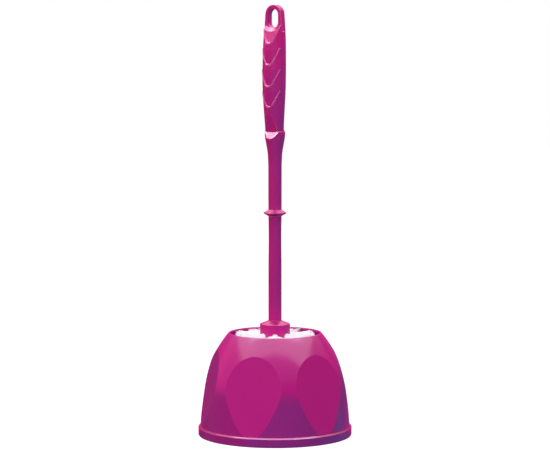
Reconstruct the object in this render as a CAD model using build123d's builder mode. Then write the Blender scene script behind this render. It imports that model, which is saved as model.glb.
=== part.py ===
from build123d import *

import math
import os

# Toilet brush standing in a bell-shaped holder.
#
# The holder is a round base tray with a raised edge, and a bell-shaped shell that sits in the tray.
# Six flats are pressed into the shell. Each is a plane that leans inwards, so it shows as an upright oval.
# The brush stands in the bell. It has a moulded handle with a hanging slot, a lower stem plugged into it,
# and a brush head with rows of bristle tufts. A flat wire anchor holds each tuft in its hole.
#
# Millimetres. +Z is up, the origin is the centre of the tray's underside, and the handle's front faces -Y.

# Shared: how far a cutting shape reaches past the piece it cuts, and the gap between two seated faces
CUT_REACH = 20.0
SEAT_GAP = 0.05

# Base tray
TRAY_RADIUS = 68.2
TRAY_HEIGHT = 8.3
TRAY_EDGE_WALL, TRAY_EDGE_CHAMFER = 2.4, 1.2
TRAY_FOOT_CHAMFER_OUT, TRAY_FOOT_CHAMFER_UP = 0.4, 0.8
TRAY_FOOT_HEIGHT = 1.2
TRAY_FOOT_WIDTH = 7.0
TRAY_FLOOR_TOP = 3.2
TRAY_RING_RADIUS = 63.1
TRAY_RING_WALL = 1.8
TRAY_RING_TOP = 7.0
DRIP_RIB_COUNT = 8
DRIP_RIB_INNER, DRIP_RIB_OUTER = 11.0, 52.0
DRIP_RIB_WIDTH, DRIP_RIB_HEIGHT = 1.6, 1.4
DRIP_RIB_SINK = 0.1

# Bell shell: a tapered skirt, then two arcs that curve in to the opening
BELL_WALL = 2.0
BELL_SHOULDER_Z = 8.45
BELL_SHOULDER_RADIUS = 66.4
BELL_TAPER_TOP_Z = 39.1
BELL_TAPER_ANGLE = math.degrees(math.atan(0.072))
BELL_LOWER_ARC, BELL_LOWER_ARC_END = 75.7, 26.7
BELL_UPPER_ARC, BELL_UPPER_ARC_END = 130.0, 39.0
BELL_LIP_FILLET = 0.7
SPIGOT_BOTTOM_Z = 3.4
SPIGOT_RADIUS = 65.3
SPIGOT_WALL = 1.8

# Flats on the bell
FLAT_COUNT = 6
FLAT_TOP_Z = 76.2
FLAT_LEAN = 12.1
FLAT_PHASE = 15.0

# Brush head
HEAD_RADIUS, HEAD_EDGE_Z, HEAD_TOP_Z = 13.35, 98.9, 101.6
HEAD_EDGE_FILLET, HEAD_SEAT = 0.9, 0.8
HEAD_DOME_CENTRE_Z = 41.0
HEAD_SOCKET_RADIUS, HEAD_SOCKET_FLOOR_Z = 4.7, 72.0

# Tufts: each row is (tufts, start radius, start height, tilt in degrees, free length)
TUFT_ROWS = [
    (7, 13.35, 88.1, -5.0, 23.6),
    (7, 13.35, 79.3, -5.0, 23.6),
    (7, 13.35, 70.5, -6.0, 23.6),
    (7, 13.35, 61.7, -8.0, 23.6),
    (7, 13.35, 52.9, -11.0, 23.6),
    (7, 13.35, 44.1, -15.0, 23.6),
    (7, 12.4, 36.0, -28.0, 23.6),
    (4, 5.85, 29.0, -70.0, 22.0),
]
TUFT_PHASE = 34.0
TUFT_HOLE_RADIUS, TUFT_HOLE_DEPTH, TUFT_HOLE_OVERSHOOT = 2.9, 4.8, 2.0
TUFT_ROOT_RADIUS, TUFT_SPREAD, TUFT_FAN_START = 2.75, 10.5, 1.2
ANCHOR_WIDTH, ANCHOR_HEIGHT, ANCHOR_THICKNESS = 5.0, 1.5, 0.5
ANCHOR_GAP = 0.15

# Stem and handle
STEM_RADIUS, STEM_WAIST_RADIUS = 5.85, 5.65
STEM_WAIST_Z, STEM_FULL_Z = 173.0, 148.0
STEM_TOP_Z = 194.5
SPIGOT_TIP_CHAMFER, SPIGOT_TIP_GAP = 1.0, 0.5
HEAD_SPIGOT_RADIUS = 4.65
HANDLE_SPIGOT_RADIUS, HANDLE_SPIGOT_TOP_Z = 3.95, 218.0
HANDLE_SOCKET_RADIUS, HANDLE_SOCKET_TOP_Z = 4.0, 219.0
COLLAR_RADIUS, COLLAR_Z, COLLAR_HALF_HEIGHT = 10.25, 197.3, 2.8
COLLAR_EDGE_HALF, COLLAR_EDGE_DEPTH = 0.6, 0.5
UPPER_STEM_RADIUS = 5.93
HANDLE_TOP_Z = 380.0

# Stop below the grip: a flare on the stem, (radius, height) from the stem up to its lip and the step above it
FLARE_PROFILE = [(5.98, 239.0), (6.2, 245.5), (6.75, 252.0), (7.75, 258.0), (8.7, 263.5), (9.0, 268.6)]
FLARE_STEP_RADIUS, FLARE_STEP_Z = 7.6, 271.6
FLARE_FACET_LIP, FLARE_FACET_ROOT, FLARE_FACET_FADE = (-8.9, 262.3), (-5.4, 268.8), (-9.8, 285.5)

# Grip sections: (height, mean radius, how far the section's centre stands forward)
GRIP_SECTIONS = [
    (266.0, 8.2, 0.5),
    (276.0, 8.5, 0.9),
    (286.0, 9.1, 1.15),
    (299.0, 9.9, 1.3),
    (316.0, 10.4, 1.3),
    (334.0, 10.3, 1.0),
    (347.0, 10.0, 0.7),
    (357.0, 9.5, 0.4),
    (366.0, 8.95, 0.1),
    (382.0, 8.7, 0.0),
]
GRIP_SIDE_FACTOR, GRIP_DEPTH_FACTOR = 1.03, 0.92

# Hanging loop: a flat slab; the grip's front begins at a hollow ledge that slopes out below its slot
LOOP_FRONT, LOOP_BACK = -3.3, 3.1
LEDGE_MIDDLE_Z, LEDGE_SIDE_Z, LEDGE_HALF_WIDTH, LEDGE_SLOPE = 360.2, 362.6, 9.0, 45.0
FIRST_FACET_TOP, FIRST_FACET_FOOT = (-5.8, 361.0), (-9.9, 341.0)
LOOP_BACK_TOP_Z, LOOP_BACK_MIDDLE, LOOP_BACK_FOOT = 365.0, (4.9, 355.0), (9.4, 337.0)
SLOT_WIDTH, SLOT_BOTTOM_Z, SLOT_TOP_Z = 10.2, 359.9, 376.6
TIP_RADIUS, TIP_TAPER, TIP_SIDE_LENGTH = 7.95, 4.8, 16.0
SLOT_EDGE_FILLET = 0.5

# Grip scoops: V-shaped ledges that face up, each below a hollow that deepens towards it
SCOOP_BOTTOMS = [345.2, 327.2, 308.6, 290.0]
SCOOP_RISE, SCOOP_HALF_WIDTH, SCOOP_DEPTH = 14.5, 7.6, 0.7
SCOOP_APEX_LIFT, SCOOP_APEX_FILLET = 4.0, 0.5
SCOOP_FADE = 13.0
SCOOP_FLOOR_DROP, SCOOP_FLOOR_STEP, SCOOP_FLOOR_SECTIONS = 4.0, 9.0, 4
SCOOP_FRONT, SCOOP_REACH, SCOOP_FLARE = 12.6, 8.4, 35.0
RIDGE_HEIGHT, RIDGE_HALF_WIDTH = 0.5, 0.75


def tray_body():
    """The base tray: a floor on a foot ring, a raised edge, and an inner ring that locates the bell."""
    edge_inner = TRAY_RADIUS - TRAY_EDGE_WALL
    ring_inner = TRAY_RING_RADIUS - TRAY_RING_WALL
    with BuildPart() as base_tray:
        with BuildSketch(Plane.XZ) as section:
            with BuildLine():
                Polyline(
                    (0, TRAY_FOOT_HEIGHT),
                    (TRAY_RADIUS - TRAY_FOOT_WIDTH, TRAY_FOOT_HEIGHT),
                    (TRAY_RADIUS - TRAY_FOOT_WIDTH, 0),
                    (TRAY_RADIUS - TRAY_FOOT_CHAMFER_OUT, 0),
                    (TRAY_RADIUS, TRAY_FOOT_CHAMFER_UP),
                    (TRAY_RADIUS, TRAY_HEIGHT),
                    (edge_inner, TRAY_HEIGHT),
                    (edge_inner, TRAY_FLOOR_TOP),
                    (TRAY_RING_RADIUS, TRAY_FLOOR_TOP),
                    (TRAY_RING_RADIUS, TRAY_RING_TOP),
                    (ring_inner, TRAY_RING_TOP),
                    (ring_inner, TRAY_FLOOR_TOP),
                    (0, TRAY_FLOOR_TOP),
                    close=True,
                )
            make_face()
            outer_corners = section.vertices().group_by(Axis.X)[-1]
            chamfer(outer_corners.sort_by(Axis.Y)[-1], TRAY_EDGE_CHAMFER)
        revolve(axis=Axis.Z)
        rib_length = DRIP_RIB_OUTER - DRIP_RIB_INNER
        with PolarLocations((DRIP_RIB_INNER + DRIP_RIB_OUTER) / 2, DRIP_RIB_COUNT):
            with Locations((0, 0, TRAY_FLOOR_TOP + DRIP_RIB_HEIGHT / 2 - DRIP_RIB_SINK)):
                Box(rib_length, DRIP_RIB_WIDTH, DRIP_RIB_HEIGHT + 2 * DRIP_RIB_SINK)
    return base_tray


def dome_points(inset):
    """The centres of the bell's two arcs and the foot of its skirt, for an outline inset inside it."""
    taper = math.radians(BELL_TAPER_ANGLE)
    end_1 = math.radians(BELL_LOWER_ARC_END)
    rise = BELL_TAPER_TOP_Z - BELL_SHOULDER_Z
    top_radius = BELL_SHOULDER_RADIUS - rise * math.tan(taper)
    centre_1 = (
        top_radius - BELL_LOWER_ARC * math.cos(taper),
        BELL_TAPER_TOP_Z - BELL_LOWER_ARC * math.sin(taper),
    )
    step = BELL_LOWER_ARC - BELL_UPPER_ARC
    centre_2 = (centre_1[0] + step * math.cos(end_1), centre_1[1] + step * math.sin(end_1))
    skirt = (BELL_SHOULDER_RADIUS - inset / math.cos(taper), BELL_SHOULDER_Z)
    return centre_1, centre_2, skirt


def upper_arc_radius(z):
    """The bell's outer radius on its upper arc at height z."""
    _, centre, _ = dome_points(0)
    return centre[0] + math.sqrt(BELL_UPPER_ARC**2 - (z - centre[1]) ** 2)


def faceted_dome(inset, top_z):
    """A solid dome, flats and all, whose surface lies inset inside the bell's, closed off at top_z."""
    centre_1, centre_2, skirt = dome_points(inset)
    with BuildPart() as dome:
        with BuildSketch(Plane.XZ):
            with BuildLine():
                lower = CenterArc(
                    centre_1,
                    BELL_LOWER_ARC - inset,
                    BELL_TAPER_ANGLE,
                    BELL_LOWER_ARC_END - BELL_TAPER_ANGLE,
                )
                upper = CenterArc(
                    centre_2,
                    BELL_UPPER_ARC - inset,
                    BELL_LOWER_ARC_END,
                    BELL_UPPER_ARC_END - BELL_LOWER_ARC_END,
                )
                Line(skirt, lower @ 0)
                Polyline(upper @ 1, ((upper @ 1).X, top_z), (0, top_z), (0, BELL_SHOULDER_Z), skirt)
            make_face()
        revolve(axis=Axis.Z)
        lean = math.radians(FLAT_LEAN)
        flat_radius = upper_arc_radius(FLAT_TOP_Z)
        for index in range(FLAT_COUNT):
            turn = math.radians(FLAT_PHASE - 90 + index * 360 / FLAT_COUNT)
            outwards = Vector(
                math.cos(turn) * math.cos(lean), math.sin(turn) * math.cos(lean), math.sin(lean)
            )
            on_rim = Vector(flat_radius * math.cos(turn), flat_radius * math.sin(turn), FLAT_TOP_Z)
            split(bisect_by=Plane(on_rim - outwards * inset, z_dir=outwards), keep=Keep.BOTTOM)
    return dome.part


def bell_top():
    """The height of the bell's rim."""
    _, centre, _ = dome_points(0)
    return centre[1] + BELL_UPPER_ARC * math.sin(math.radians(BELL_UPPER_ARC_END))


def bell_body():
    """The bell: a faceted shell, open at both ends, with a thinner spigot that drops into the tray."""
    rim_z = bell_top()
    with BuildPart() as holder_bell:
        add(faceted_dome(0, rim_z))
        add(faceted_dome(BELL_WALL, rim_z + CUT_REACH), mode=Mode.SUBTRACT)
        rim_edges = holder_bell.edges().group_by(Axis.Z)[-1]
        fillet(rim_edges, BELL_LIP_FILLET)
        with BuildSketch(Plane.XY.offset(SPIGOT_BOTTOM_Z)):
            Circle(SPIGOT_RADIUS)
            Circle(SPIGOT_RADIUS - SPIGOT_WALL, mode=Mode.SUBTRACT)
        extrude(amount=BELL_SHOULDER_Z - SPIGOT_BOTTOM_Z)
    return holder_bell


def tuft_places(row):
    """One plane per tuft of a row: its origin is where the tuft leaves the core, and z points along it."""
    count, radius, height, tilt, _ = TUFT_ROWS[row]
    lean = math.radians(tilt)
    places = []
    for index in range(count):
        turn = math.radians(TUFT_PHASE - 90 + (index + 0.5 * (row % 2)) * 360 / count)
        direction = Vector(
            math.cos(turn) * math.cos(lean), math.sin(turn) * math.cos(lean), math.sin(lean)
        )
        sideways = Vector(-math.sin(turn), math.cos(turn), 0)
        start = Vector(radius * math.cos(turn), radius * math.sin(turn), height)
        places.append(Plane(start, x_dir=sideways, z_dir=direction))
    return places


def head_body():
    """The brush head: a round-ended core with a conical top, a blind hole per tuft and a stem socket."""
    with BuildPart() as brush_head:
        with BuildSketch(Plane.XZ) as section:
            with BuildLine():
                Polyline(
                    (0, HEAD_DOME_CENTRE_Z - HEAD_RADIUS),
                    (0, HEAD_TOP_Z),
                    (STEM_RADIUS + HEAD_SEAT, HEAD_TOP_Z),
                    (HEAD_RADIUS, HEAD_EDGE_Z),
                    (HEAD_RADIUS, HEAD_DOME_CENTRE_Z),
                )
                CenterArc((0, HEAD_DOME_CENTRE_Z), HEAD_RADIUS, 0, -90)
            make_face()
            outer_corners = section.vertices().group_by(Axis.X)[-1]
            fillet(outer_corners.sort_by(Axis.Y)[-1], HEAD_EDGE_FILLET)
        revolve(axis=Axis.Z)
        with BuildSketch(Plane.XY.offset(HEAD_SOCKET_FLOOR_Z)):
            Circle(HEAD_SOCKET_RADIUS)
        extrude(until=Until.LAST, mode=Mode.SUBTRACT)
        for row in range(len(TUFT_ROWS)):
            for place in tuft_places(row):
                with BuildSketch(place.offset(-TUFT_HOLE_DEPTH)):
                    Circle(TUFT_HOLE_RADIUS)
                extrude(amount=TUFT_HOLE_DEPTH + TUFT_HOLE_OVERSHOOT, mode=Mode.SUBTRACT)
    return brush_head


def tuft_row_body(row):
    """One row of tufts: each is a plug in its hole that fans out into a cone of filaments."""
    free_length = TUFT_ROWS[row][4]
    root = ANCHOR_HEIGHT + 2 * ANCHOR_GAP - TUFT_HOLE_DEPTH
    tip_radius = TUFT_ROOT_RADIUS + free_length * math.tan(math.radians(TUFT_SPREAD))
    with BuildPart() as tufts:
        for place in tuft_places(row):
            with BuildSketch(Plane(place.origin, x_dir=place.z_dir, z_dir=place.x_dir)):
                with BuildLine():
                    Polyline(
                        (root, 0),
                        (free_length, 0),
                        (free_length, tip_radius),
                        (TUFT_FAN_START, TUFT_ROOT_RADIUS),
                        (root, TUFT_ROOT_RADIUS),
                        close=True,
                    )
                make_face()
            revolve(axis=Axis(place.origin, place.z_dir))
    return tufts


def anchors_body():
    """The flat wire anchors, one across the floor of each tuft hole."""
    with BuildPart() as tuft_anchors:
        for row in range(len(TUFT_ROWS)):
            for place in tuft_places(row):
                with BuildSketch(place.offset(ANCHOR_GAP - TUFT_HOLE_DEPTH)):
                    Rectangle(ANCHOR_WIDTH, ANCHOR_THICKNESS)
                extrude(amount=ANCHOR_HEIGHT)
    return tuft_anchors


def lower_stem_body():
    """The lower stem: a waisted rod with a spigot at each end, one for the head and one for the handle."""
    low_tip_z = HEAD_SOCKET_FLOOR_Z + SPIGOT_TIP_GAP
    with BuildPart() as lower_stem:
        with BuildSketch(Plane.XZ):
            with BuildLine():
                waist = Spline(
                    (STEM_RADIUS, STEM_FULL_Z),
                    (STEM_WAIST_RADIUS, STEM_WAIST_Z),
                    (STEM_RADIUS, STEM_TOP_Z),
                    tangents=[(0, 1), (0.02, 1)],
                )
                Polyline(
                    waist @ 1,
                    (HANDLE_SPIGOT_RADIUS, STEM_TOP_Z),
                    (HANDLE_SPIGOT_RADIUS, HANDLE_SPIGOT_TOP_Z - SPIGOT_TIP_CHAMFER),
                    (HANDLE_SPIGOT_RADIUS - SPIGOT_TIP_CHAMFER, HANDLE_SPIGOT_TOP_Z),
                    (0, HANDLE_SPIGOT_TOP_Z),
                    (0, low_tip_z),
                    (HEAD_SPIGOT_RADIUS - SPIGOT_TIP_CHAMFER, low_tip_z),
                    (HEAD_SPIGOT_RADIUS, low_tip_z + SPIGOT_TIP_CHAMFER),
                    (HEAD_SPIGOT_RADIUS, HEAD_TOP_Z + SEAT_GAP),
                    (STEM_RADIUS, HEAD_TOP_Z + SEAT_GAP),
                    waist @ 0,
                )
            make_face()
        revolve(axis=Axis.Z)
    return lower_stem


def grip_section(z):
    """The grip's mean radius and forward shift at height z, between its listed sections."""
    for low, high in zip(GRIP_SECTIONS, GRIP_SECTIONS[1:]):
        if z <= high[0]:
            share = (z - low[0]) / (high[0] - low[0])
            return low[1] + share * (high[1] - low[1]), low[2] + share * (high[2] - low[2])
    return GRIP_SECTIONS[-1][1:]


def vee_block(bottom_z):
    """A V-shaped block that widens towards the front, so the walls it cuts face up and out."""
    with BuildPart() as block:
        with BuildSketch(Plane.XZ.offset(SCOOP_FRONT - SCOOP_REACH)) as vee:
            with BuildLine():
                Polyline(
                    (0, bottom_z + SCOOP_APEX_LIFT),
                    (SCOOP_HALF_WIDTH, bottom_z + SCOOP_RISE),
                    (-SCOOP_HALF_WIDTH, bottom_z + SCOOP_RISE),
                    close=True,
                )
            make_face()
            fillet(vee.vertices().sort_by(Axis.Y)[0], SCOOP_APEX_FILLET)
        extrude(amount=SCOOP_REACH, taper=-SCOOP_FLARE)
    return block.part


def first_scoop_cutter():
    """The space above the highest V ledge: its floor is a flat facet that leans back to the loop."""
    with BuildPart() as cutter:
        with BuildSketch(Plane.YZ):
            with BuildLine():
                Polyline(
                    (-CUT_REACH, FIRST_FACET_TOP[1]),
                    FIRST_FACET_TOP,
                    FIRST_FACET_FOOT,
                    (-CUT_REACH, FIRST_FACET_FOOT[1]),
                    close=True,
                )
            make_face()
        extrude(amount=CUT_REACH, both=True)
        add(vee_block(SCOOP_BOTTOMS[0]), mode=Mode.INTERSECT)
    return cutter.part


def grip_core(bottom_z, depth, fade):
    """The grip near one V ledge, thinner by depth at the ledge and by less above it where it fades."""
    with BuildPart() as core:
        for index in range(SCOOP_FLOOR_SECTIONS):
            height = bottom_z - SCOOP_FLOOR_DROP + index * SCOOP_FLOOR_STEP
            radius, forward = grip_section(height)
            inset = depth * (1 - fade * (height - bottom_z) / SCOOP_FADE)
            with BuildSketch(Plane.XY.offset(height)):
                with Locations((0, -forward)):
                    Ellipse(radius * GRIP_SIDE_FACTOR - inset, radius * GRIP_DEPTH_FACTOR - inset)
        loft()
    return core.part


def scoop_cutter(bottom_z):
    """The space above one lower V ledge: its floor is deepest at the ledge and rises out to the surface."""
    with BuildPart() as cutter:
        add(vee_block(bottom_z))
        add(grip_core(bottom_z, SCOOP_DEPTH, 1), mode=Mode.SUBTRACT)
    return cutter.part


def vee_ridge(bottom_z):
    """The narrow ridge along one V ledge, which stands a little proud of the grip."""
    with BuildPart() as ridge:
        add(vee_block(bottom_z - RIDGE_HALF_WIDTH))
        add(vee_block(bottom_z + RIDGE_HALF_WIDTH), mode=Mode.SUBTRACT)
        add(grip_core(bottom_z, -RIDGE_HEIGHT, 0), mode=Mode.INTERSECT)
    return ridge.part


def loop_front_cutter():
    """The space in front of the loop: its floor is a hollow ledge that slopes out to the grip's front."""
    with BuildPart() as cutter:
        with BuildSketch(Plane.XZ.offset(-LOOP_FRONT)):
            with BuildLine():
                ledge = ThreePointArc(
                    (-LEDGE_HALF_WIDTH, LEDGE_SIDE_Z),
                    (0, LEDGE_MIDDLE_Z),
                    (LEDGE_HALF_WIDTH, LEDGE_SIDE_Z),
                )
                Polyline(
                    ledge @ 1,
                    (LEDGE_HALF_WIDTH, HANDLE_TOP_Z + CUT_REACH),
                    (-LEDGE_HALF_WIDTH, HANDLE_TOP_Z + CUT_REACH),
                    ledge @ 0,
                )
            make_face()
        extrude(amount=CUT_REACH, taper=-LEDGE_SLOPE)
    return cutter.part


def tip_trimmer():
    """The space outside the loop's outline: a half circle on two sides that spread downwards."""
    taper = math.radians(TIP_TAPER)
    centre_z = HANDLE_TOP_Z - TIP_RADIUS
    corner = Vector(TIP_RADIUS * math.cos(taper), centre_z + TIP_RADIUS * math.sin(taper))
    foot = Vector(corner.X + TIP_SIDE_LENGTH * math.tan(taper), corner.Y - TIP_SIDE_LENGTH)
    with BuildPart() as trimmer:
        with BuildSketch(Plane.XZ):
            with Locations((0, foot.Y)):
                Rectangle(2 * CUT_REACH, 3 * CUT_REACH, align=(Align.CENTER, Align.MIN))
            with BuildLine():
                ThreePointArc(corner, (0, HANDLE_TOP_Z), (-corner.X, corner.Y))
                Polyline((-corner.X, corner.Y), (-foot.X, foot.Y), (foot.X, foot.Y), corner)
            make_face(mode=Mode.SUBTRACT)
        extrude(amount=CUT_REACH, both=True)
    return trimmer.part


def handle_body():
    """The handle: upper stem with its collar, a flared stop, a grip with V ledges, and a loop with a slot."""
    with BuildPart() as handle:
        for height, radius, forward in GRIP_SECTIONS:
            with BuildSketch(Plane.XY.offset(height)):
                with Locations((0, -forward)):
                    Ellipse(radius * GRIP_SIDE_FACTOR, radius * GRIP_DEPTH_FACTOR)
        loft()
        add(first_scoop_cutter(), mode=Mode.SUBTRACT)
        for bottom_z in SCOOP_BOTTOMS[1:]:
            add(scoop_cutter(bottom_z), mode=Mode.SUBTRACT)
        for bottom_z in SCOOP_BOTTOMS:
            add(vee_ridge(bottom_z))
        # The front view rounds the tip and tapers the loop's sides.
        add(tip_trimmer(), mode=Mode.SUBTRACT)
        # The side view thins the loop at the front and back.
        add(loop_front_cutter(), mode=Mode.SUBTRACT)
        with BuildSketch(Plane.YZ):
            with BuildLine():
                back = Spline(
                    (LOOP_BACK, LOOP_BACK_TOP_Z),
                    LOOP_BACK_MIDDLE,
                    LOOP_BACK_FOOT,
                    tangents=[(0, -1), (0.15, -1)],
                )
                Polyline(
                    back @ 1,
                    (CUT_REACH, LOOP_BACK_FOOT[1]),
                    (CUT_REACH, HANDLE_TOP_Z + CUT_REACH),
                    (LOOP_BACK, HANDLE_TOP_Z + CUT_REACH),
                    back @ 0,
                )
            make_face()
        extrude(amount=CUT_REACH, both=True, mode=Mode.SUBTRACT)
        # Hanging slot.
        with BuildSketch(Plane.XZ):
            with Locations((0, (SLOT_BOTTOM_Z + SLOT_TOP_Z) / 2)):
                SlotOverall(SLOT_TOP_Z - SLOT_BOTTOM_Z, SLOT_WIDTH, rotation=90)
        extrude(amount=CUT_REACH, both=True, mode=Mode.SUBTRACT)
        loop_faces = handle.faces().filter_by(Axis.Y).filter_by(lambda face: face.center().Z > LEDGE_SIDE_Z)
        slot_edges = loop_faces.edges().filter_by(
            lambda edge: abs(edge.center().X) < SLOT_WIDTH / 2 + SLOT_EDGE_FILLET
            and SLOT_BOTTOM_Z + SLOT_WIDTH / 2 < edge.center().Z < HANDLE_TOP_Z - SLOT_EDGE_FILLET
        )
        fillet(slot_edges, SLOT_EDGE_FILLET)
        # Flared stop, upper stem and collar.
        with BuildSketch(Plane.XZ):
            with BuildLine():
                edge = ThreePointArc(
                    (COLLAR_RADIUS - COLLAR_EDGE_DEPTH, COLLAR_Z - COLLAR_EDGE_HALF),
                    (COLLAR_RADIUS, COLLAR_Z),
                    (COLLAR_RADIUS - COLLAR_EDGE_DEPTH, COLLAR_Z + COLLAR_EDGE_HALF),
                )
                flare = Spline(*FLARE_PROFILE, tangents=[(0.02, 1), (-0.05, 1)])
                Polyline(edge @ 1, (UPPER_STEM_RADIUS, COLLAR_Z + COLLAR_HALF_HEIGHT), flare @ 0)
                Polyline(
                    flare @ 1,
                    (FLARE_STEP_RADIUS, FLARE_STEP_Z),
                    (0, FLARE_STEP_Z),
                    (0, STEM_TOP_Z + SEAT_GAP),
                    (UPPER_STEM_RADIUS, STEM_TOP_Z + SEAT_GAP),
                    edge @ 0,
                )
            make_face()
        revolve(axis=Axis.Z)
        with BuildSketch(Plane.YZ):
            with BuildLine():
                Polyline(
                    (-CUT_REACH, FLARE_FACET_LIP[1]),
                    FLARE_FACET_LIP,
                    FLARE_FACET_ROOT,
                    FLARE_FACET_FADE,
                    (-CUT_REACH, FLARE_FACET_FADE[1]),
                    close=True,
                )
            make_face()
        extrude(amount=CUT_REACH, both=True, mode=Mode.SUBTRACT)
        with BuildSketch(Plane.XY.offset(STEM_TOP_Z)):
            Circle(HANDLE_SOCKET_RADIUS)
        extrude(amount=HANDLE_SOCKET_TOP_Z - STEM_TOP_Z, mode=Mode.SUBTRACT)
    return handle


def main():
    pieces = {
        "base_tray": tray_body(),
        "holder_bell": bell_body(),
        "brush_head": head_body(),
        "tuft_anchors": anchors_body(),
        "lower_stem": lower_stem_body(),
        "handle": handle_body(),
    }
    for row in range(len(TUFT_ROWS)):
        pieces[f"bristle_row_{row + 1}"] = tuft_row_body(row)
    os.makedirs("parts", exist_ok=True)
    for name, piece in pieces.items():
        piece.part.label = name
        export_step(piece.part, f"parts/{name}.step")
        print(name, "solids", len(piece.part.solids()), "volume", round(piece.part.volume))


main()
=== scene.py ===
"""Toilet brush in a bell-shaped holder: materials, bristles, floor, studio lights and camera."""

import math
import random

import bpy
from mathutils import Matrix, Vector


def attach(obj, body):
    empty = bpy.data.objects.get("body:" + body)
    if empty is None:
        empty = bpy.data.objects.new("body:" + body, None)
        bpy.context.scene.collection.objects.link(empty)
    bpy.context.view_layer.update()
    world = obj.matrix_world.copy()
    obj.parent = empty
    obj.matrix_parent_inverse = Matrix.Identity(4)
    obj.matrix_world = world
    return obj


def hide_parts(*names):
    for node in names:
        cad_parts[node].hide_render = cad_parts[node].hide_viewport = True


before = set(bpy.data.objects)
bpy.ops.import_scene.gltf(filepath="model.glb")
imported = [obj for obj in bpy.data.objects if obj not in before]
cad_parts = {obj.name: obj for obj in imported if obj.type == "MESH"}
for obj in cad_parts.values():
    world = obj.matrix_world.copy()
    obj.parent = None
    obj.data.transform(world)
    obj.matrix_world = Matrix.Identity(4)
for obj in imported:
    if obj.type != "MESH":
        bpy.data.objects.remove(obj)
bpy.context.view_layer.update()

MM = 0.001
HOLDER_NODES = ["base_tray", "holder_bell"]
BRUSH_NODES = ["brush_head", "lower_stem", "handle"]

# ---------------------------------------------------------------- bristle sizes, in mm and degrees

# Rows from the cap down: (tufts, start radius, start height, tilt, free length, filaments in a tuft)
TUFT_ROWS = [
    (7, 13.35, 88.1, -5.0, 21.2, 220),
    (7, 13.35, 79.3, -5.0, 21.6, 170),
    (7, 13.35, 70.5, -6.0, 22.8, 90),
    (7, 13.35, 61.7, -8.0, 22.8, 60),
    (7, 13.35, 52.9, -11.0, 22.8, 60),
    (7, 13.35, 44.1, -15.0, 22.8, 60),
    (7, 12.4, 36.0, -28.0, 22.8, 60),
    (4, 5.85, 29.0, -70.0, 22.0, 70),
]
TUFT_PHASE = 34.0
HOLE_FILL_RADIUS, HOLE_FILL_DEPTH, HOLE_MOUTH_DEPTH = 2.65, 2.8, 0.3
TIP_SPREAD_SIDEWAYS, TIP_SPREAD_UPWARDS = 13.5, 1.7
TIP_SCATTER_SIDEWAYS, TIP_SCATTER_UPWARDS = 1.0, 0.8
SPREAD_CURVE = 1.5
SHORTEST_SHARE = 0.93
LONGEST_REACH = 35.4
CRIMP_LENGTH, CRIMP_HEIGHT = 4.6, 0.3
CRIMP_GROWTH = 4
STEPS_PER_CRIMP, FEWEST_STEPS = 3, 4
FILAMENT_RADIUS, THINNEST, THICKEST = 0.25, 0.9, 1.1
FILAMENT_SIDES = 3
# No filament runs this way, so it sets the turn of every tube's corners
CORNER_GUIDE = Vector((0.31, 0.17, 0.94))
FIRST_SEED = 700

# ---------------------------------------------------------------- looks

# Noise textures: (scale, detail, roughness)
STREAK_NOISE, WAVE_NOISE = (22.0, 4.0, 0.55), (30.0, 2.0, 0.5)
SMUDGE_NOISE, GRAIN_NOISE = (55.0, 5.0, 0.62), (1500.0, 2.0, 0.5)
MOTTLE_NOISE, RIDGE_NOISE = (240.0, 3.0, 0.6), (4000.0, 1.0, 0.5)
DRAWN_NOISE, FIBRE_NOISE = (900.0, 3.0, 0.6), (60.0, 4.0, 0.6)
# Nearly all of a noise texture's values lie between these
NOISE_LOW, NOISE_HIGH = 0.3, 0.7

# Bumps: (distance in metres, strength)
WAVE_BUMP, GRAIN_BUMP = (0.0004, 0.16), (0.00002, 0.22)
RIDGE_BUMP, DRAWN_BUMP = (0.00001, 0.3), (0.00001, 0.4)

# Moulded plastics: (light, dark, streak scale per axis, roughness, edge radius in m, painted edge highlight)
HOLDER_LOOK = ((0.55, 0.017, 0.33), (0.52, 0.015, 0.31), (1, 1, 0.35), 0.18, 0.0004, 0.45)
BRUSH_LOOK = ((0.74, 0.015, 0.31), (0.70, 0.013, 0.29), (1, 1, 0.2), 0.22, 0.0005, 1.0)
# Colour of a highlight painted on edges and ridge crests, standing in for the glint of light on them
PAINTED_EDGE_HIGHLIGHT = (1.0, 0.48, 0.9)
EDGE_SAMPLES = 8
# Cosine of the bevelled normal's lean where the painted edge highlight starts, and where it is full
EDGE_STARTS, EDGE_FULL = 0.99, 0.93
SMUDGE_HIGH = 0.75
SMOOTHER, ROUGHER = 0.05, 0.07
PLASTIC_IOR, NYLON_IOR = 1.49, 1.53

# Scattering under the surface: (weight, radius for each colour, scale in metres)
PLASTIC_SCATTER = (0.12, (1.0, 0.12, 0.55), 0.0022)
FILAMENT_SCATTER = (0.25, (1.0, 1.0, 1.0), 0.0008)

FILAMENT_LIGHT, FILAMENT_DARK = (0.94, 0.96, 0.97), (0.88, 0.90, 0.92)
# Painted light: the filaments glow faintly, standing in for light shining through them
FILAMENT_PAINTED_LIGHT, FILAMENT_PAINTED_LIGHT_STRENGTH = (0.95, 0.98, 1.0), 0.28
WIRE_LIGHT, WIRE_DARK = (0.62, 0.62, 0.63), (0.45, 0.45, 0.47)
WIRE_AXIS_SCALE = (1, 1, 12)
FLOOR_LIGHT, FLOOR_DARK = (0.16, 0.16, 0.16), (0.14, 0.14, 0.14)
FILAMENT_ROUGHNESS, WIRE_ROUGHNESS, FLOOR_ROUGHNESS = (0.38, 0.52), (0.25, 0.42), 0.9

# ---------------------------------------------------------------- camera and studio sizes, in metres

# Azimuth 0 is in front of the handle, and positive turns to +X
CAMERA_AZIMUTH = 34.0
CAMERA_DISTANCE, CAMERA_HEIGHT, AIM_HEIGHT = 1.782, 0.330, 0.1866
IMAGE_WIDTH_AT_AIM = 0.486
SENSOR_WIDTH_MM = 36.0
FARTHEST_SEEN = 50

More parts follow.
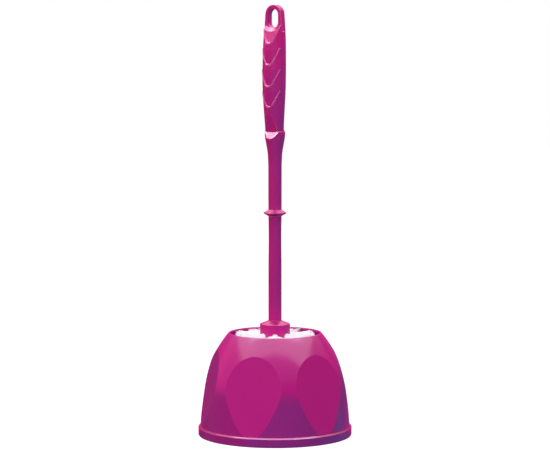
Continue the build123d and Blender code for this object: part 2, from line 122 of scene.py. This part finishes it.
FLOOR_RADIUS, FLOOR_RINGS, FLOOR_SPOKES = 6.0, 4, 48
FLOOR_DROP = 0.0004

WHITE = (1, 1, 1)
# What gloss sees in each direction, and the dim light that comes from everywhere
CARD_LOW, CARD_MIDDLE, CARD_HIGH = (0.0, 0.4, 1.15), (3.9, 0.15, 0.8), (4.2, 0.5, 1.3)
CARD_LEFT_LOW, CARD_LEFT = (1.0, 0.18, 0.35), (4.7, 0.4, 1.3)
CARD_BACK_LEFT, CARD_BACK_RIGHT = (0.4, 0.04, 0.16), (0.5, 0.1, 0.4)
CARD_BACK_MIDDLE, CARD_BACK_HIGH = (1.9, 0.1, 0.5), (2.6, 2.0, 2.2)
AMBIENT = (0.10, 0.11, 0.18)

# Where one card fades into the next, as a direction's part upwards, to the camera's right or towards it
MIDDLE_FADE, HIGH_FADE = (-0.03, 0.14), (0.34, 0.5)
LEFT_FADE, LEFT_RISE = (-0.85, -0.55), (-0.1, 0.25)
BACK_SIDE_FADE, BACK_MIDDLE_FADE, BACK_HIGH_FADE = (-0.5, 0.5), (0.0, 0.25), (0.35, 0.6)
FRONT_FADE = (-0.75, -0.45)

# Level boxes overhead, no two seen in gloss at one height, because gloss would miss the second of them:
# (name, shape, height above the aim, (width, depth), power, colour, whether only gloss sees it)
OVERHEAD_BOXES = [
    ("overhead_gloss", "RECTANGLE", 1.15, (3.0, 1.75), 44.0, (1.0, 0.88, 0.82), True),
    ("zenith_gloss", "ELLIPSE", 1.05, (1.8, 0.72), 22.0, (0.95, 0.85, 1.2), True),
    ("overhead_matt", "RECTANGLE", 1.15, (1.7, 1.7), 34.0, (1.0, 0.92, 0.88), False),
]
OVERHEAD_AIM_HEIGHT = 0.15
# Small lights that graze the handle's ledges: (name, azimuth, elevation, height they aim at, power)
HANDLE_GLINTS = [
    ("ledge_glint", -86, 56, 0.358, 0.006),
    ("facet_glint", -37, 20, 0.352, 0.0008),
    ("stop_glint", -48, 42, 0.265, 0.009),
]
GLINT_DISTANCE, GLINT_WIDTH, GLINT_SPREAD = 0.5, 0.1, 20
HANDLE_FRONT = -0.007
# Boxes for matt light: (name, turn from the camera, elevation, distance, width, power, colour, aim height)
MATT_BOXES = [
    ("front_matt", -18, 18.0, 1.1, 0.7, 3.6, (1.0, 0.86, 0.8), 0.3),
    ("back_matt", 180, 30.0, 2.0, 1.2, 3.0, WHITE, 0.15),
]


# ---------------------------------------------------------------- node helpers

def new_material(name):
    """A node material with only its output and Principled shader."""
    material = bpy.data.materials.new(name)
    material.use_nodes = True
    tree = material.node_tree
    tree.nodes.clear()
    output = tree.nodes.new("ShaderNodeOutputMaterial")
    shader = tree.nodes.new("ShaderNodeBsdfPrincipled")
    tree.links.new(shader.outputs["BSDF"], output.inputs["Surface"])
    return material, tree, shader


def noise(tree, kind, axis_scale=(1, 1, 1)):
    """Noise in object coordinates. A scale below 1 draws it out along that axis, and above 1 squeezes it."""
    coordinates = tree.nodes.new("ShaderNodeTexCoord")
    mapping = tree.nodes.new("ShaderNodeMapping")
    mapping.inputs["Scale"].default_value = axis_scale
    tree.links.new(coordinates.outputs["Object"], mapping.inputs["Vector"])
    texture = tree.nodes.new("ShaderNodeTexNoise")
    for socket, value in zip(("Scale", "Detail", "Roughness"), kind):
        texture.inputs[socket].default_value = value
    tree.links.new(mapping.outputs["Vector"], texture.inputs["Vector"])
    return texture.outputs["Fac"]


def remap(tree, value, low, high, to_low=0, to_high=1):
    node = tree.nodes.new("ShaderNodeMapRange")
    node.inputs["From Min"].default_value = low
    node.inputs["From Max"].default_value = high
    node.inputs["To Min"].default_value = to_low
    node.inputs["To Max"].default_value = to_high
    tree.links.new(value, node.inputs["Value"])
    return node.outputs["Result"]


def blend_colours(tree, factor, first, second):
    """Each colour is a tuple or another node's output."""
    node = tree.nodes.new("ShaderNodeMix")
    node.data_type = "RGBA"
    tree.links.new(factor, node.inputs["Factor"])
    for socket, colour in (("A", first), ("B", second)):
        target = [s for s in node.inputs if s.name == socket and s.type == "RGBA"][0]
        if isinstance(colour, tuple):
            target.default_value = (*colour, 1)
        else:
            tree.links.new(colour, target)
    return [s for s in node.outputs if s.type == "RGBA"][0]


def blend_by_noise(tree, texture, light, dark):
    return blend_colours(tree, remap(tree, texture, NOISE_LOW, NOISE_HIGH), light, dark)


def bump(tree, height, kind, normal=None):
    node = tree.nodes.new("ShaderNodeBump")
    node.inputs["Distance"].default_value, node.inputs["Strength"].default_value = kind
    tree.links.new(height, node.inputs["Height"])
    if normal is not None:
        tree.links.new(normal, node.inputs["Normal"])
    return node.outputs["Normal"]


def scatter(shader, kind):
    for socket, value in zip(("Subsurface Weight", "Subsurface Radius", "Subsurface Scale"), kind):
        shader.inputs[socket].default_value = value


def math_node(tree, operation, first, second):
    """Each value is a float or another node's output."""
    node = tree.nodes.new("ShaderNodeMath")
    node.operation = operation
    for socket, value in zip(node.inputs, (first, second)):
        if isinstance(value, float):
            socket.default_value = value
        else:
            tree.links.new(value, socket)
    return node.outputs["Value"]


# ---------------------------------------------------------------- materials

def moulded_plastic(name, light, dark, streak_scale, roughness, edge_radius, painted_highlight_strength):
    """Glossy injection-moulded plastic: flow streaks, slight waviness, fine grain, soft edges and a
    highlight painted paler along edges.
    """
    material, tree, shader = new_material(name)
    colour = blend_by_noise(tree, noise(tree, STREAK_NOISE, streak_scale), light, dark)
    edges = tree.nodes.new("ShaderNodeBevel")
    edges.samples = EDGE_SAMPLES
    edges.inputs["Radius"].default_value = edge_radius
    facing = tree.nodes.new("ShaderNodeVectorMath")
    facing.operation = "DOT_PRODUCT"
    tree.links.new(edges.outputs["Normal"], facing.inputs[0])
    tree.links.new(tree.nodes.new("ShaderNodeNewGeometry").outputs["Normal"], facing.inputs[1])
    # A highlight is painted on edges: the base colour turns paler where the bevelled normal leans away
    painted_highlight_mask = remap(tree, facing.outputs["Value"], EDGE_STARTS, EDGE_FULL, 0, painted_highlight_strength)
    tree.links.new(blend_colours(tree, painted_highlight_mask, colour, PAINTED_EDGE_HIGHLIGHT), shader.inputs["Base Color"])
    smudges = remap(
        tree, noise(tree, SMUDGE_NOISE), NOISE_LOW, SMUDGE_HIGH, roughness - SMOOTHER, roughness + ROUGHER
    )
    tree.links.new(smudges, shader.inputs["Roughness"])
    shader.inputs["IOR"].default_value = PLASTIC_IOR
    scatter(shader, PLASTIC_SCATTER)
    wavy = bump(tree, noise(tree, WAVE_NOISE), WAVE_BUMP, edges.outputs["Normal"])
    grainy = bump(tree, noise(tree, GRAIN_NOISE), GRAIN_BUMP, wavy)
    tree.links.new(grainy, shader.inputs["Normal"])
    return material


def filament_plastic(name):
    """White nylon-like filament: slightly see-through, with a faint glow painted in to brighten it, and a
    satin surface.
    """
    material, tree, shader = new_material(name)
    mottling = noise(tree, MOTTLE_NOISE)
    colour = blend_by_noise(tree, mottling, FILAMENT_LIGHT, FILAMENT_DARK)
    tree.links.new(colour, shader.inputs["Base Color"])
    roughness = remap(tree, mottling, NOISE_LOW, NOISE_HIGH, *FILAMENT_ROUGHNESS)
    tree.links.new(roughness, shader.inputs["Roughness"])
    shader.inputs["IOR"].default_value = NYLON_IOR
    scatter(shader, FILAMENT_SCATTER)
    # Painted light: a faint glow brightens the filaments though they are no lamp
    shader.inputs["Emission Color"].default_value = (*FILAMENT_PAINTED_LIGHT, 1)
    shader.inputs["Emission Strength"].default_value = FILAMENT_PAINTED_LIGHT_STRENGTH
    tree.links.new(bump(tree, noise(tree, RIDGE_NOISE), RIDGE_BUMP), shader.inputs["Normal"])
    return material


def drawn_wire(name):
    """Flat steel wire with fine drawing lines."""
    material, tree, shader = new_material(name)
    lines = noise(tree, DRAWN_NOISE, WIRE_AXIS_SCALE)
    tree.links.new(blend_by_noise(tree, lines, WIRE_LIGHT, WIRE_DARK), shader.inputs["Base Color"])
    shader.inputs["Metallic"].default_value = 1.0
    roughness = remap(tree, lines, NOISE_LOW, NOISE_HIGH, *WIRE_ROUGHNESS)
    tree.links.new(roughness, shader.inputs["Roughness"])
    tree.links.new(bump(tree, lines, DRAWN_BUMP), shader.inputs["Normal"])
    return material


def matt_floor(name):
    """Pale seamless studio floor, lit evenly by its own glow."""
    material, tree, shader = new_material(name)
    colour = blend_by_noise(tree, noise(tree, FIBRE_NOISE), FLOOR_LIGHT, FLOOR_DARK)
    tree.links.new(colour, shader.inputs["Base Color"])
    shader.inputs["Roughness"].default_value = FLOOR_ROUGHNESS
    shader.inputs["Emission Color"].default_value = (*WHITE, 1)
    shader.inputs["Emission Strength"].default_value = 1.0
    return material


def give(node, material):
    """The material goes on every slot of a CAD node."""
    piece = bpy.data.objects[node]
    for material_slot in piece.material_slots:
        material_slot.material = material
    if not piece.material_slots:
        piece.data.materials.append(material)


# ---------------------------------------------------------------- bristles

def tuft_places(row):
    """(start, along, sideways, upwards) of each tuft in a row."""
    count, radius, height, tilt = TUFT_ROWS[row][:4]
    lean = math.radians(tilt)
    places = []
    for index in range(count):
        turn = math.radians(TUFT_PHASE - 90 + (index + 0.5 * (row % 2)) * 360 / count)
        outwards = Vector((math.cos(turn), math.sin(turn), 0))
        along = outwards * math.cos(lean) + Vector((0, 0, math.sin(lean)))
        sideways = Vector((-math.sin(turn), math.cos(turn), 0))
        start = outwards * radius + Vector((0, 0, height))
        places.append((start, along, sideways, along.cross(sideways) * -1))
    return places


def filament_points(start, along, sideways, upwards, length, rng):
    """One crimped filament's centre line, from inside its hole to its tip. A tuft opens out as it goes."""
    spot = math.sqrt(rng.random())
    heading = rng.uniform(0, math.tau)
    across, above = spot * math.cos(heading), spot * math.sin(heading)
    root = start + (sideways * across + upwards * above) * HOLE_FILL_RADIUS
    spread = sideways * (across * TIP_SPREAD_SIDEWAYS + rng.gauss(0, TIP_SCATTER_SIDEWAYS))
    spread += upwards * (above * TIP_SPREAD_UPWARDS + rng.gauss(0, TIP_SCATTER_UPWARDS))
    reach = length * rng.uniform(SHORTEST_SHARE, 1.0)
    crimp_way = (sideways * rng.gauss(0, 1) + upwards * rng.gauss(0, 1)).normalized()
    phase = rng.uniform(0, math.tau)
    points = [root - along * HOLE_FILL_DEPTH, root - along * HOLE_MOUTH_DEPTH]
    steps = max(FEWEST_STEPS, round(reach / CRIMP_LENGTH * STEPS_PER_CRIMP))
    for step in range(1, steps + 1):
        share = step / steps
        swing = math.sin(phase + share * reach / CRIMP_LENGTH * math.tau)
        crimp = crimp_way * (swing * CRIMP_HEIGHT * min(1, share * CRIMP_GROWTH))
        point = root + along * (share * reach) + spread * share**SPREAD_CURVE + crimp
        if math.hypot(point.x, point.y) > LONGEST_REACH:
            break
        points.append(point)
    return points


def add_tube(vertices, faces, points, radius):
    """A thin tube along points, with closed ends."""
    base = len(vertices)
    for index, point in enumerate(points):
        before = points[max(index - 1, 0)]
        after = points[min(index + 1, len(points) - 1)]
        forward = (after - before).normalized()
        side = forward.cross(CORNER_GUIDE).normalized()
        other = forward.cross(side)
        for corner in range(FILAMENT_SIDES):
            angle = corner * math.tau / FILAMENT_SIDES
            vertices.append((point + (side * math.cos(angle) + other * math.sin(angle)) * radius) * MM)
    for index in range(len(points) - 1):
        low = base + index * FILAMENT_SIDES
        high = low + FILAMENT_SIDES
        for corner in range(FILAMENT_SIDES):
            following = (corner + 1) % FILAMENT_SIDES
            faces.append((low + corner, low + following, high + following, high + corner))
    last = base + (len(points) - 1) * FILAMENT_SIDES
    faces.append(tuple(range(last, last + FILAMENT_SIDES)))
    faces.append(tuple(reversed(range(base, base + FILAMENT_SIDES))))


def bristle_row(row, material):
    """All of a row's filaments as one mesh, in place of the CAD's cones."""
    rng = random.Random(FIRST_SEED + row)
    vertices, faces = [], []
    length, filaments = TUFT_ROWS[row][4:]
    for start, along, sideways, upwards in tuft_places(row):
        for _ in range(filaments):
            points = filament_points(start, along, sideways, upwards, length, rng)
            add_tube(vertices, faces, points, FILAMENT_RADIUS * rng.uniform(THINNEST, THICKEST))
    mesh = bpy.data.meshes.new(f"filaments_{row + 1}")
    mesh.from_pydata([tuple(v) for v in vertices], [], faces)
    mesh.polygons.foreach_set("use_smooth", [True] * len(mesh.polygons))
    mesh.update()
    piece = bpy.data.objects.new(f"filaments_{row + 1}", mesh)
    bpy.context.scene.collection.objects.link(piece)
    mesh.materials.append(material)
    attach(piece, "brush")
    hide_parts(f"bristle_row_{row + 1}")


# ---------------------------------------------------------------- studio

def floor():
    """A wide round floor, made of rings of faces, that isn't seen in reflections."""
    vertices, faces = [(0, 0, 0)], []
    for ring in range(1, FLOOR_RINGS + 1):
        for spoke in range(FLOOR_SPOKES):
            angle = spoke * math.tau / FLOOR_SPOKES
            reach = FLOOR_RADIUS * ring / FLOOR_RINGS
            vertices.append((reach * math.cos(angle), reach * math.sin(angle), 0))
    for spoke in range(FLOOR_SPOKES):
        following = (spoke + 1) % FLOOR_SPOKES
        faces.append((0, 1 + spoke, 1 + following))
        for ring in range(FLOOR_RINGS - 1):
            low, high = 1 + ring * FLOOR_SPOKES, 1 + (ring + 1) * FLOOR_SPOKES
            faces.append((low + spoke, high + spoke, high + following, low + following))
    mesh = bpy.data.meshes.new("studio_floor")
    mesh.from_pydata(vertices, [], faces)
    piece = bpy.data.objects.new("studio_floor", mesh)
    piece.location = (0, 0, -FLOOR_DROP)
    bpy.context.scene.collection.objects.link(piece)
    mesh.materials.append(matt_floor("studio_floor"))
    piece.visible_glossy = False
    piece.visible_diffuse = False


def direction_from(azimuth, elevation):
    """The way from the set to something at this azimuth and elevation, in degrees."""
    turn, rise = math.radians(azimuth), math.radians(elevation)
    return Vector((math.sin(turn) * math.cos(rise), -math.cos(turn) * math.cos(rise), math.sin(rise)))


def area_light(name, azimuth, elevation, distance, target, size, power, colour, gloss):
    """A soft box that faces the target and shows either only in gloss, or only in matt light."""
    lamp = bpy.data.lights.new(name, "AREA")
    lamp.shape = "RECTANGLE"
    lamp.size, lamp.size_y = size
    lamp.energy = power
    lamp.color = colour
    aim = Vector(target)
    place = aim + distance * direction_from(azimuth, elevation)
    holder = bpy.data.objects.new(name, lamp)
    holder.location = place
    holder.rotation_euler = (aim - place).to_track_quat("-Z", "Y").to_euler()
    holder.visible_glossy = gloss
    holder.visible_diffuse = not gloss
    holder.visible_camera = False
    bpy.context.scene.collection.objects.link(holder)
    return holder


def level_part(tree, split, x_share, y_share):
    """How far a direction points along a level line."""
    return math_node(
        tree,
        "ADD",
        math_node(tree, "MULTIPLY", split.outputs["X"], x_share),
        math_node(tree, "MULTIPLY", split.outputs["Y"], y_share),
    )


def glossy_cards(tree):
    """What gloss sees: coloured cards in front, a strip on the left, and a dimmer card behind."""
    split = tree.nodes.new("ShaderNodeSeparateXYZ")
    direction = tree.nodes.new("ShaderNodeTexCoord").outputs["Generated"]
    tree.links.new(direction, split.inputs["Vector"])
    height = split.outputs["Z"]
    turn = math.radians(CAMERA_AZIMUTH)
    towards_camera = level_part(tree, split, math.sin(turn), -math.cos(turn))
    sideways = level_part(tree, split, math.cos(turn), math.sin(turn))
    leftmost = remap(tree, sideways, *LEFT_FADE, 1, 0)
    low = blend_colours(tree, leftmost, CARD_LOW, CARD_LEFT_LOW)
    front = blend_colours(tree, remap(tree, height, *MIDDLE_FADE), low, CARD_MIDDLE)
    front = blend_colours(tree, remap(tree, height, *HIGH_FADE), front, CARD_HIGH)
    strip = math_node(tree, "MULTIPLY", leftmost, remap(tree, height, *LEFT_RISE))
    front = blend_colours(tree, strip, front, CARD_LEFT)
    back = blend_colours(tree, remap(tree, sideways, *BACK_SIDE_FADE), CARD_BACK_LEFT, CARD_BACK_RIGHT)
    back = blend_colours(tree, remap(tree, height, *BACK_MIDDLE_FADE), back, CARD_BACK_MIDDLE)
    back = blend_colours(tree, remap(tree, height, *BACK_HIGH_FADE), back, CARD_BACK_HIGH)
    return blend_colours(tree, remap(tree, towards_camera, *FRONT_FADE), back, front)


def studio_surroundings():
    """White to the camera, cards to gloss, and a dim glow to everything else."""
    world = bpy.data.worlds.new("studio")
    bpy.context.scene.world = world
    world.use_nodes = True
    tree = world.node_tree
    tree.nodes.clear()
    path = tree.nodes.new("ShaderNodeLightPath")
    colour = blend_colours(tree, path.outputs["Is Glossy Ray"], AMBIENT, glossy_cards(tree))
    colour = blend_colours(tree, path.outputs["Is Camera Ray"], colour, WHITE)
    background = tree.nodes.new("ShaderNodeBackground")
    output = tree.nodes.new("ShaderNodeOutputWorld")
    tree.links.new(colour, background.inputs["Color"])
    tree.links.new(background.outputs["Background"], output.inputs["Surface"])


def studio():
    studio_surroundings()
    for name, shape, distance, size, power, colour, gloss in OVERHEAD_BOXES:
        target = (0, 0, OVERHEAD_AIM_HEIGHT)
        box = area_light(name, 0, 90, distance, target, size, power, colour, gloss)
        box.rotation_euler = (0, 0, math.radians(CAMERA_AZIMUTH))
        box.data.shape = shape
    for name, azimuth, elevation, height, power in HANDLE_GLINTS:
        target, size = (0, HANDLE_FRONT, height), (GLINT_WIDTH, GLINT_WIDTH)
        glint = area_light(name, azimuth, elevation, GLINT_DISTANCE, target, size, power, WHITE, True)
        glint.data.spread = math.radians(GLINT_SPREAD)
    for name, turn, elevation, distance, width, power, colour, height in MATT_BOXES:
        target, size = (0, 0, height), (width, width)
        area_light(name, CAMERA_AZIMUTH + turn, elevation, distance, target, size, power, colour, False)


def camera():
    lens_holder = bpy.data.cameras.new("camera")
    lens_holder.sensor_width = SENSOR_WIDTH_MM
    place = CAMERA_DISTANCE * direction_from(CAMERA_AZIMUTH, 0)
    place.z = CAMERA_HEIGHT
    aim = Vector((0, 0, AIM_HEIGHT))
    lens_holder.lens = SENSOR_WIDTH_MM * (aim - place).length / IMAGE_WIDTH_AT_AIM
    lens_holder.clip_end = FARTHEST_SEEN
    piece = bpy.data.objects.new("camera", lens_holder)
    piece.location = place
    piece.rotation_euler = (aim - place).to_track_quat("-Z", "Y").to_euler()
    bpy.context.scene.collection.objects.link(piece)
    bpy.context.scene.camera = piece


# ---------------------------------------------------------------- everything in order

holder_plastic = moulded_plastic("holder_plastic", *HOLDER_LOOK)
brush_plastic = moulded_plastic("brush_plastic", *BRUSH_LOOK)
for node in HOLDER_NODES:
    give(node, holder_plastic)
for node in BRUSH_NODES:
    give(node, brush_plastic)
give("tuft_anchors", drawn_wire("anchor_wire"))
bristle = filament_plastic("bristle")
for row in range(len(TUFT_ROWS)):
    bristle_row(row, bristle)
floor()
studio()
camera()
bpy.context.scene.view_settings.view_transform = "Standard"
